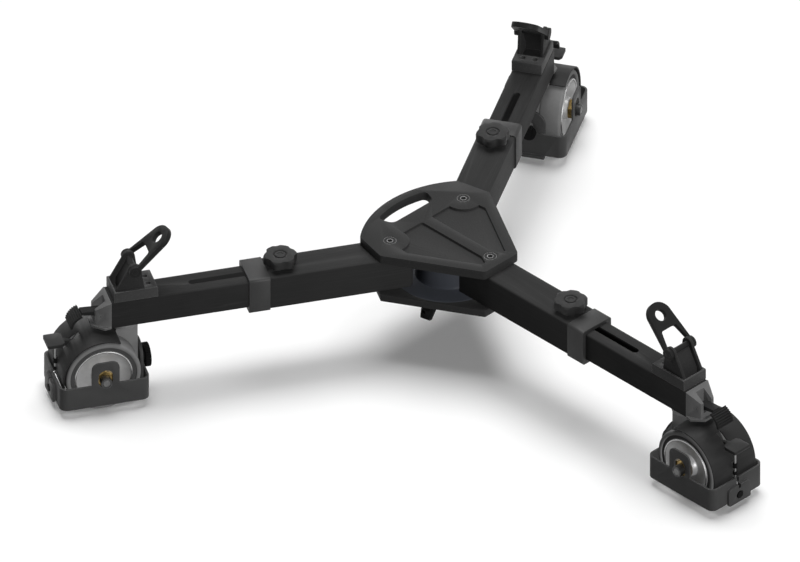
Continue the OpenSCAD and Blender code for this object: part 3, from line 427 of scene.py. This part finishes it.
def lathe_piece(name, outline, steps, arm, place, turn, material):
    """A turned piece in its place on an arm."""
    return as_piece(name, settle(turned(outline, steps), arm, place, turn), material)


def span(node):
    """The low and high corners of a node, in millimetres."""
    low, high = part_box(node)
    return Vector(low) / MM, Vector(high) / MM


# A turned piece stands along Y. These matrices leave it there, lay it along X, and stand it along Z.
AS_TURNED = Matrix()
TO_X = Matrix.Rotation(-math.pi / 2, 4, "Z")
TO_Z = Matrix.Rotation(math.pi / 2, 4, "X")
# The wheels' two sides of the caster, the right one turned half round
SIDES = {"left": AS_TURNED, "right": Matrix.Rotation(math.pi, 4, "Z")}


# The hub

# Distance of the arms' pivots from the hub's axis
PIVOT_X = 96
SCREW_R = 6
# The countersunk head, with the small breaks on its outer edge and round its socket
HEAD_R = 10.3
HEAD_H = 6
HEAD_LAND = 0.4
HEAD_EDGE = 0.3
SOCKET_R = 4.7
SOCKET_DEPTH = 4.5
SOCKET_EDGE = 0.2
# A bright steel band painted round the rim and the socket as their highlight: half its width, and its reach
# under and over the head
GLINT_HALF = 0.35
GLINT_UNDER = 0.2
GLINT_OVER = 0.05
# Distance of the socket's painted highlight band from the socket
GLINT_OUT = 0.4
ROUND_STEPS = 72
HEXAGON = 6


def pivot_screws():
    """Countersunk pivot screws, with bright steel bands round their rims and a hexagon band round their
    sockets, both painted highlights.
    """
    low, high = (corner.z for corner in span("pivot_screws"))
    outline = [(0, low), (SCREW_R, low), (SCREW_R, high - HEAD_H), (HEAD_R, high - HEAD_LAND),
               (HEAD_R - HEAD_EDGE, high), (SOCKET_R + SOCKET_EDGE, high), (SOCKET_R, high - SOCKET_EDGE),
               (SOCKET_R, high - SOCKET_DEPTH), (0, high - SOCKET_DEPTH)]
    glint_bands = (("rim", HEAD_R, ROUND_STEPS), ("socket", SOCKET_R + GLINT_OUT, HEXAGON))
    screws = bmesh.new()
    for arm in ARM_ANGLE:
        screw = settle(turned(outline, ROUND_STEPS), arm, (PIVOT_X, 0, 0), TO_Z)
        one_screw = bpy.data.meshes.new("screw")
        screw.to_mesh(one_screw)
        screws.from_mesh(one_screw)
        screw.free()
        bpy.data.meshes.remove(one_screw)
        for kind, radius, steps in glint_bands:
            band = [(radius - GLINT_HALF, -GLINT_UNDER), (radius + GLINT_HALF, -GLINT_UNDER),
                    (radius + GLINT_HALF, GLINT_OVER), (radius - GLINT_HALF, GLINT_OVER)]
            name = f"pivot_screw_{kind}_{arm}"
            glint_band = lathe_piece(name, band, steps, arm, (PIVOT_X, 0, high), TO_Z, BARE_STEEL_AND_HIGHLIGHT)
            dress(finish_mesh(glint_band), "pivot_screws")
    dress(finish_mesh(as_piece("pivot_screws_finished", screws, PLATE)), "pivot_screws", replaces=True)


refined("top_plate", PLATE, 0.6)
refined("bottom_plate", PLATE, 0.8)
refined("lock_drum", DRUM, 0.4)
refined("lock_lever", RUBBER, 1.2, 3)
refined("pivot_sleeves", SLEEVE, 0.3)
pivot_screws()


# The wheels and the axle

wheel_low, wheel_high = span("wheel_left_c")
AXLE = Vector(((wheel_low.x + wheel_high.x) / 2, 0, (wheel_low.z + wheel_high.z) / 2))
WHEEL_R = (wheel_high.z - wheel_low.z) / 2
INNER_FACE = wheel_low.y
OUTER_FACE = wheel_high.y
guard_low, guard_high = span("cable_guard_c")
GUARD_SKIN = 3.0
NUT_GAP = 1
NUT_OUT = guard_high.y - GUARD_SKIN - NUT_GAP
# Play between the wheel and its nut
WHEEL_PLAY = 0.5
NUT_FLATS = 30.0
AXLE_END = span("wheel_axle_c")[1].y
AXLE_R = 9.0
BORE_R = AXLE_R + 0.1
BOSS_R = 9.5
# Faces round each kind of turned piece
WHEEL_STEPS = 128
AXLE_STEPS = 64
DISC_STEPS = 40
# Depths under the tread of the tyre's seat and the groove's wall, and the groove's depth in the outer face
TYRE_SEAT = 14.4
GROOVE_WALL = 7.6
GROOVE = 3.2
SHOULDER = 4
# The centre's web on the inner side: its foot and its depth behind the inner face
WEB_FOOT = 18
WEB_DEPTH = 6
DISH_DEPTH = 9

# The tyre's tread, with rounded shoulders and a groove for the band
TREAD_OUTLINE = [(WHEEL_R - TYRE_SEAT, INNER_FACE + 1), (WHEEL_R - SHOULDER, INNER_FACE),
                 (WHEEL_R - 1.2, INNER_FACE + 0.9), (WHEEL_R, INNER_FACE + 3.4),
                 (WHEEL_R, OUTER_FACE - SHOULDER), (WHEEL_R - 0.5, OUTER_FACE - 2.1),
                 (WHEEL_R - 1.9, OUTER_FACE - 0.6), (WHEEL_R - SHOULDER, OUTER_FACE),
                 (WHEEL_R - 6.8, OUTER_FACE - 0.3), (WHEEL_R - 7.4, OUTER_FACE - 0.9),
                 (WHEEL_R - GROOVE_WALL, OUTER_FACE - GROOVE), (WHEEL_R - TYRE_SEAT, OUTER_FACE - GROOVE)]
# The darker band that fills the tyre's groove, a little hollow across
BAND_OUTLINE = [(WHEEL_R - 14.2, OUTER_FACE - 3.1), (WHEEL_R - 7.7, OUTER_FACE - 3.1),
                (WHEEL_R - 7.7, OUTER_FACE - 2.5), (WHEEL_R - 11, OUTER_FACE - 2.1),
                (WHEEL_R - 14.2, OUTER_FACE - 2.5)]
# The cast centre: a web on the inner side, a rounded lip, a smooth dish and a hub round the axle
CENTRE_OUTLINE = [(BORE_R, INNER_FACE), (WEB_FOOT, INNER_FACE), (WEB_FOOT + 2, INNER_FACE + WEB_DEPTH),
                  (WHEEL_R - 18, INNER_FACE + WEB_DEPTH), (WHEEL_R - 15, INNER_FACE + 1),
                  (WHEEL_R - 14.5, INNER_FACE + 1), (WHEEL_R - 14.5, OUTER_FACE - 0.7),
                  (WHEEL_R - 14.8, OUTER_FACE - 0.2), (WHEEL_R - 15.6, OUTER_FACE),
                  (WHEEL_R - 16.4, OUTER_FACE - 0.3), (WHEEL_R - 17.6, OUTER_FACE - 1.6),
                  (WHEEL_R - 20.5, OUTER_FACE - 3.9), (WHEEL_R - 25, OUTER_FACE - 6.2),
                  (WHEEL_R - 31, OUTER_FACE - 8), (AXLE_R + 14.5, OUTER_FACE - DISH_DEPTH),
                  (AXLE_R + 10.5, OUTER_FACE - DISH_DEPTH), (AXLE_R + 9.4, OUTER_FACE - 7.8),
                  (AXLE_R + 8.6, OUTER_FACE - 0.9), (AXLE_R + 7.9, OUTER_FACE - 0.3),
                  (BORE_R, OUTER_FACE - 0.3)]
# The bare lip that the lathe left round the centre, in bright steel that also stands in for its edge
# highlight
LIP_OUTLINE = [(WHEEL_R - 17.4, OUTER_FACE - 1.6), (WHEEL_R - 14.3, OUTER_FACE - 1.6),
               (WHEEL_R - 14.3, OUTER_FACE - 0.3), (WHEEL_R - 14.9, OUTER_FACE + 0.1),
               (WHEEL_R - 15.9, OUTER_FACE + 0.1), (WHEEL_R - 17.4, OUTER_FACE - 1.1)]
# Half the axle: a plain shaft, and a boss with a raised ring and a sunk face
HALF_AXLE = [(AXLE_R, NUT_OUT - 0.01), (BOSS_R, NUT_OUT), (BOSS_R, AXLE_END - 0.9), (BOSS_R - 0.8, AXLE_END),
             (BOSS_R - 2.6, AXLE_END), (BOSS_R - 3, AXLE_END - 0.8), (0, AXLE_END - 0.8)]
AXLE_OUTLINE = [(radius, -y) for radius, y in reversed(HALF_AXLE)] + HALF_AXLE
# The faced disc in the boss's sunk face, with a small turned tip
DISC_OUTLINE = [(0, AXLE_END - 1.2), (6, AXLE_END - 1.2), (6, AXLE_END - 0.7), (5.6, AXLE_END - 0.4),
                (2, AXLE_END - 0.4), (1.6, AXLE_END - 0.1), (0, AXLE_END - 0.1)]


def wheel(arm, side):
    """A wheel: its tyre, the darker band in it, the cast centre and the centre's bare lip, made bright as a
    painted highlight.
    """
    node = f"wheel_{side}_{arm}"
    # Each ring's name, outline and finish, and the angle past which its corners are edges
    rings = (("tread", TREAD_OUTLINE, TREAD, 50), ("band", BAND_OUTLINE, BAND, SHARP),
             ("centre", CENTRE_OUTLINE, CENTRE, 40), ("lip", LIP_OUTLINE, BARE_STEEL_AND_HIGHLIGHT, 60))
    for kind, outline, material, angle in rings:
        ring = lathe_piece(f"{node}_{kind}", outline, WHEEL_STEPS, arm, AXLE, SIDES[side], material)
        dress(finish_mesh(ring, angle=angle), node, replaces=kind == "tread")


def wheel_nut(arm, side):
    """The hexagon nut between a wheel and the guard."""
    foot = OUTER_FACE + WHEEL_PLAY
    corner_r = NUT_FLATS / math.sqrt(3)
    nut = bmesh.new()
    bmesh.ops.create_cone(nut, cap_ends=True, segments=HEXAGON, radius1=corner_r, radius2=corner_r,
                          depth=NUT_OUT - foot)
    out = (NUT_OUT + foot) / 2 if side == "left" else -(NUT_OUT + foot) / 2
    # The cone is made standing along Z, and the same quarter turn lays it along the axle
    settle(nut, arm, AXLE + Vector((0, out, 0)), TO_Z)
    dress(finish_mesh(as_piece(f"wheel_nut_{side}_{arm}", nut, BRASS), 1.0, 3), f"wheel_axle_{arm}")


def axle(arm):
    """The axle with its end bosses, and the paler faced disc in each."""
    for side, turn in SIDES.items():
        disc = lathe_piece(f"axle_centre_{side}_{arm}", DISC_OUTLINE, DISC_STEPS, arm, AXLE, turn, END_STEEL)
        dress(finish_mesh(disc), f"wheel_axle_{arm}")
    name = f"wheel_axle_{arm}_finished"
    shaft = lathe_piece(name, AXLE_OUTLINE, AXLE_STEPS, arm, AXLE, AS_TURNED, AXLE_STEEL)
    dress(finish_mesh(shaft), f"wheel_axle_{arm}", replaces=True)


# The brake, the guard, the end cap and the star knob

# The brake's link rod stands in the gap between the fender and the guard. Heights are counted from the axle.
LINK_OUT = 68
LINK_R = 2
LINK_LOW = -10.5
LINK_HIGH = 37.5
CLIP_R = 4
CLIP_BITE = 0.2
CLIP_HEIGHTS = ((10.5, 18.5), (-2.5, 2.5))
ROD_STEPS = 24
CLIP_STEPS = 32
LINK_OUTLINE = [(0, LINK_LOW), (LINK_R, LINK_LOW), (LINK_R, LINK_HIGH), (0, LINK_HIGH)]
# The plug in the guard's end plate, from the plate's outer face, and its height above the guard's foot
PLUG_OUTLINE = [(0, -6), (6.2, -6), (6.2, 0.8), (5.6, 1.4), (0, 1.4)]
PLUG_RISE = 13.5
# The end cap narrows from the inner tube's half width to its nose. The direction pedal's pin goes through it.
tube_high = span("inner_tube_c")[1]
CAP_LEN = 24.0
CAP_NOSE = 14.0
PIN_OUT = 14.0
PIN_DROP = 28.0
CAP_SLOPE = (tube_high.y - CAP_NOSE) / CAP_LEN
PIN_COVER = Vector((tube_high.x + PIN_OUT, tube_high.y - CAP_SLOPE * PIN_OUT, tube_high.z - PIN_DROP))
COVER_OUTLINE = [(0, -0.6), (3.5, -0.6), (3.5, 0.04), (0, 0.04)]
# The star knob's cap, from the knob's top face
knob_low, knob_high = span("star_knob_c")
KNOB_TOP = ((knob_low.x + knob_high.x) / 2, 0, knob_high.z)
KNOB_CAP_STEPS = 48
KNOB_CAP_OUTLINE = [(0, -2.5), (9, -2.5), (9, -0.9), (8.2, -0.1), (5.2, -0.1), (4.6, -0.9), (0, -0.9)]


def brake_link(arm):
    """The brake's drawn link rod with its two rubber clips."""
    foot = AXLE + Vector((LINK_OUT, 0, 0))
    rod = lathe_piece(f"brake_link_{arm}", LINK_OUTLINE, ROD_STEPS, arm, foot, TO_Z, ROD_STEEL)
    dress(finish_mesh(rod, 0.5), f"caster_fork_{arm}")
    bore = LINK_R - CLIP_BITE
    for order, (low, high) in enumerate(CLIP_HEIGHTS):
        outline = [(bore, low), (CLIP_R, low), (CLIP_R, high), (bore, high)]
        clip = lathe_piece(f"brake_link_clip_{order}_{arm}", outline, CLIP_STEPS, arm, foot, TO_Z, RUBBER)
        dress(finish_mesh(clip, 0.5), f"caster_fork_{arm}")


def guard_plug(arm):
    """The rubber plug in the guard's outer end plate."""
    place = (guard_high.x, 0, guard_low.z + PLUG_RISE)
    plug = lathe_piece(f"guard_plug_{arm}", PLUG_OUTLINE, DISC_STEPS, arm, place, TO_X, RUBBER)
    dress(finish_mesh(plug), f"cable_guard_{arm}")


def pin_covers(arm):
    """Flush discs over the ends of the direction pedal's pin, on the end cap's slanted sides."""
    slant = math.atan(CAP_SLOPE)
    for side, out, turn in (("left", 1, -slant), ("right", -1, math.pi + slant)):
        place = (PIN_COVER.x, out * PIN_COVER.y, PIN_COVER.z)
        face = Matrix.Rotation(turn, 4, "Z")
        cover = lathe_piece(f"pin_cover_{side}_{arm}", COVER_OUTLINE, DISC_STEPS, arm, place, face, CAP_PIN)
        dress(finish_mesh(cover), f"end_cap_{arm}")


def star_knob_cap(arm):
    """The cap pressed into the star knob's top."""
    cap = lathe_piece(f"star_knob_cap_{arm}", KNOB_CAP_OUTLINE, KNOB_CAP_STEPS, arm, KNOB_TOP, TO_Z, NYLON)
    dress(finish_mesh(cap), f"star_knob_{arm}")


# The arms

for arm in ARM_ANGLE:
    refined(f"outer_tube_{arm}", OUTER[arm], 0.5)
    refined(f"tube_collar_{arm}", COLLAR, 0.6)
    refined(f"star_knob_{arm}", NYLON, 1.2, 3)
    refined(f"inner_tube_{arm}", INNER[arm], 0.4)
    refined(f"foot_bracket_{arm}", BRACKET, 0.6)
    refined(f"clamp_saddle_{arm}", SADDLE, 0.6)
    refined(f"clamp_lever_{arm}", STEEL_COAT, 1.2, 3)
    refined(f"clamp_pin_{arm}", STEEL_COAT, 0.5)
    refined(f"end_cap_{arm}", CAP, 0.7)
    refined(f"direction_pedal_{arm}", PEDAL_COAT, 0.3)
    refined(f"caster_fork_{arm}", FORK, 0.8)
    refined(f"fender_{arm}", SHEET_COAT, 0.6)
    refined(f"cable_guard_{arm}", GUARD_COAT, 0.5)
    refined(f"guard_knob_{arm}", RUBBER, 0.3)
    refined(f"brake_pedal_{arm}", SHEET_COAT, 0.6)
    for side in SIDES:
        wheel(arm, side)
        wheel_nut(arm, side)
    axle(arm)
    brake_link(arm)
    guard_plug(arm)
    pin_covers(arm)
    star_knob_cap(arm)


# The floor and the light

# In metres, and the gap under the wheels in millimetres
FLOOR_SIDE = 12.0
FLOOR_GAP = 0.2
AMBIENT = 0.1


def in_view(tree):
    """1 for what the camera sees straight, mirrored or through glass, and 0 for light that only bounces."""
    path = add(tree, "ShaderNodeLightPath").outputs
    seen = add(tree, "ShaderNodeMath", {0: path["Is Camera Ray"], 1: path["Is Glossy Ray"]},
               operation="MAXIMUM")
    return add(tree, "ShaderNodeMath", {0: seen, 1: path["Is Transmission Ray"]}, operation="MAXIMUM")


def studio_paper():
    """Seamless paper: white to the camera and in reflections, duller as a source of bounced light."""
    material, tree, skin, _ = start_material("studio_paper")
    tone = add(tree, "ShaderNodeMix", {"Factor": in_view(tree), "A": "#595959", "B": "#ffffff"},
               data_type="RGBA")
    feed(skin, {"Base Color": tone, "Roughness": 0.9, "Specular IOR Level": 0.0})
    return material


def studio_floor():
    """A plain square floor under the wheels."""
    floor = bmesh.new()
    bmesh.ops.create_grid(floor, x_segments=1, y_segments=1, size=FLOOR_SIDE / 2)
    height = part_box("wheel_left_c")[0].z - FLOOR_GAP * MM
    bmesh.ops.translate(floor, verts=floor.verts, vec=(0, 0, height))
    as_piece("studio_floor", floor, studio_paper())


def studio_world():
    """A white room that adds only a little light of its own."""
    world = bpy.data.worlds.new("studio")
    bpy.context.scene.world = world
    world.use_nodes = True
    sky = world.node_tree
    level = add(sky, "ShaderNodeMapRange", {"Value": in_view(sky), "To Min": AMBIENT, "To Max": 1.0})
    feed(sky.nodes["Background"], {"Color": "#ffffff", "Strength": level})


def direction(azimuth, elevation):
    """The way from the dolly towards a compass direction, counted in degrees from +X towards +Y."""
    a, e = math.radians(azimuth), math.radians(elevation)
    return Vector((math.cos(a) * math.cos(e), math.sin(a) * math.cos(e), math.sin(e)))


def far_lamp(name, azimuth, elevation, strength, softness, shadow=True):
    """A wide soft lamp far away in a direction. Its softness is the angle that it fills, in degrees."""
    lamp = bpy.data.lights.new(name, "SUN")
    lamp.energy = strength
    lamp.angle = math.radians(softness)
    lamp.use_shadow = shadow
    holder = bpy.data.objects.new(name, lamp)
    bpy.context.scene.collection.objects.link(holder)
    holder.rotation_mode = "QUATERNION"
    holder.rotation_quaternion = direction(azimuth, elevation).to_track_quat("Z", "Y")


studio_floor()
studio_world()
# A lamp of strength pi shows the colour of a surface that faces it as written
far_lamp("overhead", azimuth=135, elevation=78, strength=0.8 * math.pi, softness=42)
far_lamp("side_fill", azimuth=-5, elevation=14, strength=0.54 * math.pi, softness=30, shadow=False)
far_lamp("back_fill", azimuth=150, elevation=6, strength=0.3 * math.pi, softness=30, shadow=False)


# The camera

# The photograph is a parallel projection, at this scale and from this direction
CAMERA_AZIMUTH = -45
CAMERA_ELEVATION = 35.264
PHOTO_SIZE = Vector((800, 562))
PIXELS_PER_MM = 0.6245
# The pixel that shows the hub's axis at the height of the outer tubes' top, from the frame's top left corner
HUB_PIXEL = Vector((447.86, 239.74))
# Distances from the hub, in metres
CAMERA_AWAY = 4
CLIP_END = 20


def photo_camera():
    """The camera, placed so that the hub falls on its pixel."""
    hub_point = Vector((0, 0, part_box("outer_tube_c")[1].z))
    back = direction(CAMERA_AZIMUTH, CAMERA_ELEVATION)
    right = Vector((-back.y, back.x, 0)).normalized()
    up = back.cross(right)
    offset = (PHOTO_SIZE / 2 - HUB_PIXEL) / PIXELS_PER_MM * MM
    lens = bpy.data.cameras.new("camera")
    lens.type = "ORTHO"
    lens.ortho_scale = PHOTO_SIZE.x / PIXELS_PER_MM * MM
    lens.clip_end = CLIP_END
    camera = bpy.data.objects.new("camera", lens)
    bpy.context.scene.collection.objects.link(camera)
    camera.location = hub_point + right * offset.x - up * offset.y + back * CAMERA_AWAY
    camera.rotation_mode = "QUATERNION"
    camera.rotation_quaternion = back.to_track_quat("Z", "Y")
    bpy.context.scene.camera = camera


photo_camera()
bpy.context.scene.view_settings.view_transform = "Standard"
